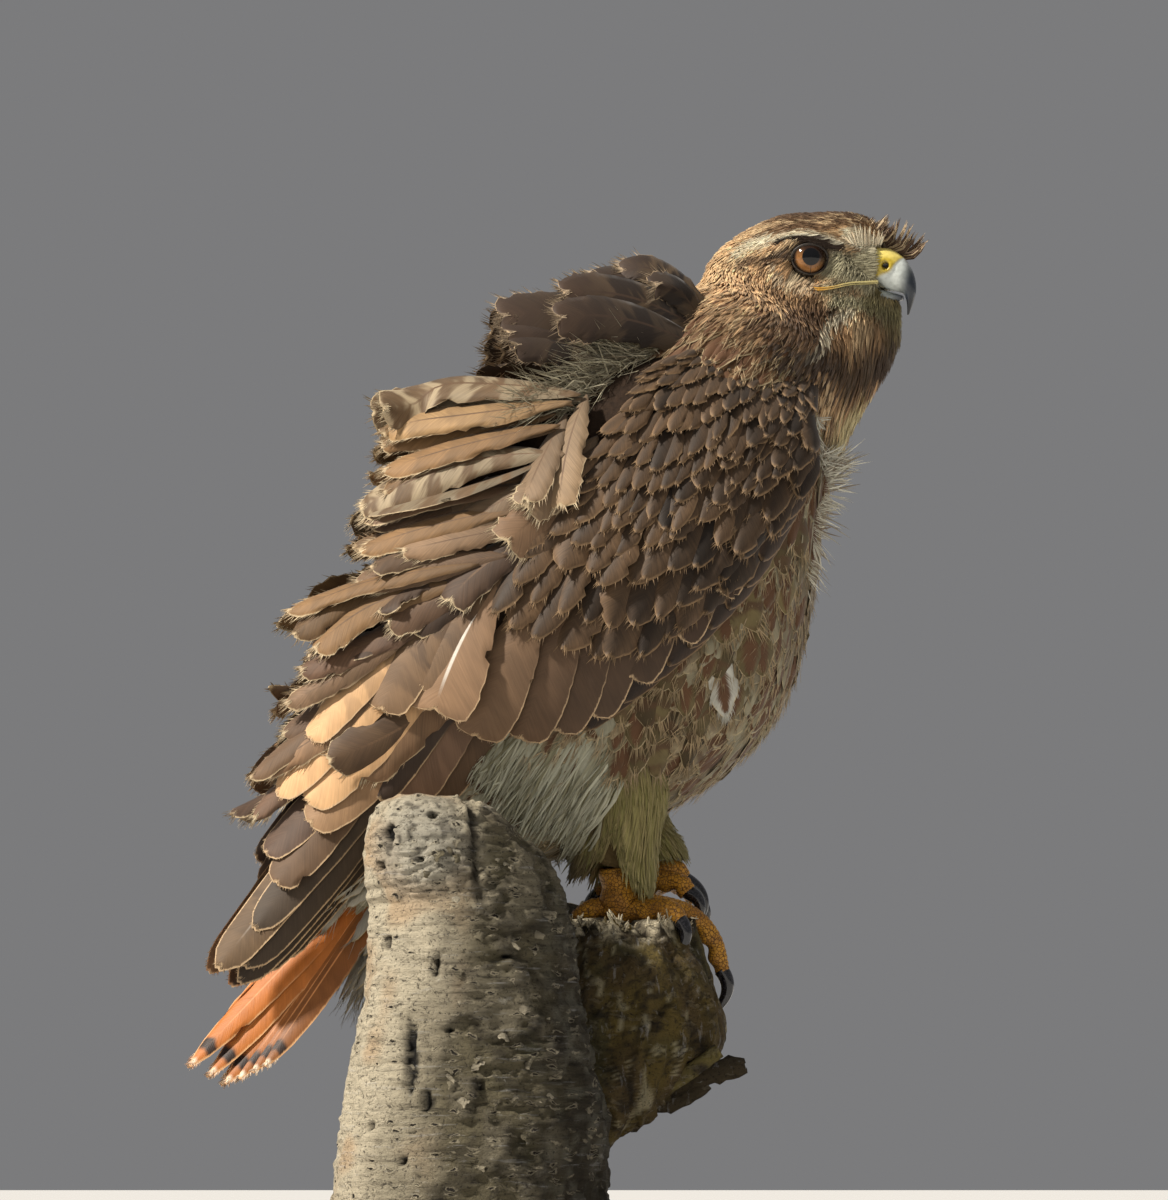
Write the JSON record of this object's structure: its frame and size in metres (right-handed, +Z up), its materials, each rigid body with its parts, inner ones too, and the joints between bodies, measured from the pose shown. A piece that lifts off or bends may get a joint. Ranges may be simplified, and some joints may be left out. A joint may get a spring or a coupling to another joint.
{
  "type": "red tailed hawk model",
  "caption": "Life-size still model of a perched red tailed hawk with folded wings, its head turned, gripping a broken trunk on a flat stand.",
  "frame": {"origin": "centre of the stand base's underside", "axes": "+Z up, +X the way the bird looks, seen from -Y in the picture's view"},
  "size_m": [0.3329, 0.2264, 0.4952],
  "materials": {
    "body_feather": "soft brown and cream streaked body feathers",
    "wing_feather": "dark brown feathers with buff edges",
    "pale_feather": "pale buff leg feathers",
    "tail_feather": "brick red tail feathers with a dark bar near the tip",
    "bill": "blue grey horn, darker at the tip, with a yellow green cere",
    "claw": "black horn",
    "eye": "glossy brown eye with a black pupil",
    "foot_scale": "yellow to orange scaly skin",
    "bark": "grey bark and yellow olive rotten wood",
    "stand": "dark stained wood and dark metal rods"
  },
  "bodies": {
    "root": {"torso": "body_feather", "neck": "body_feather", "head": "body_feather", "eye_right": "eye", "eye_left": "eye", "maxilla": "bill", "mandible": "bill", "wing_right": "wing_feather", "wing_left": "wing_feather", "tail": "tail_feather", "thigh_right": "pale_feather", "foot_right": "foot_scale", "claw_right_middle": "claw", "claw_right_inner": "claw", "claw_right_outer": "claw", "claw_right_hind": "claw", "thigh_left": "pale_feather", "foot_left": "foot_scale", "claw_left_middle": "claw", "claw_left_inner": "claw", "claw_left_outer": "claw", "claw_left_hind": "claw", "perch_trunk": "bark", "perch_stub": "bark", "perch_bark_flap": "bark", "stand_base": "stand", "stand_rod_1": "stand", "stand_rod_2": "stand"}
  },
  "joints": []
}
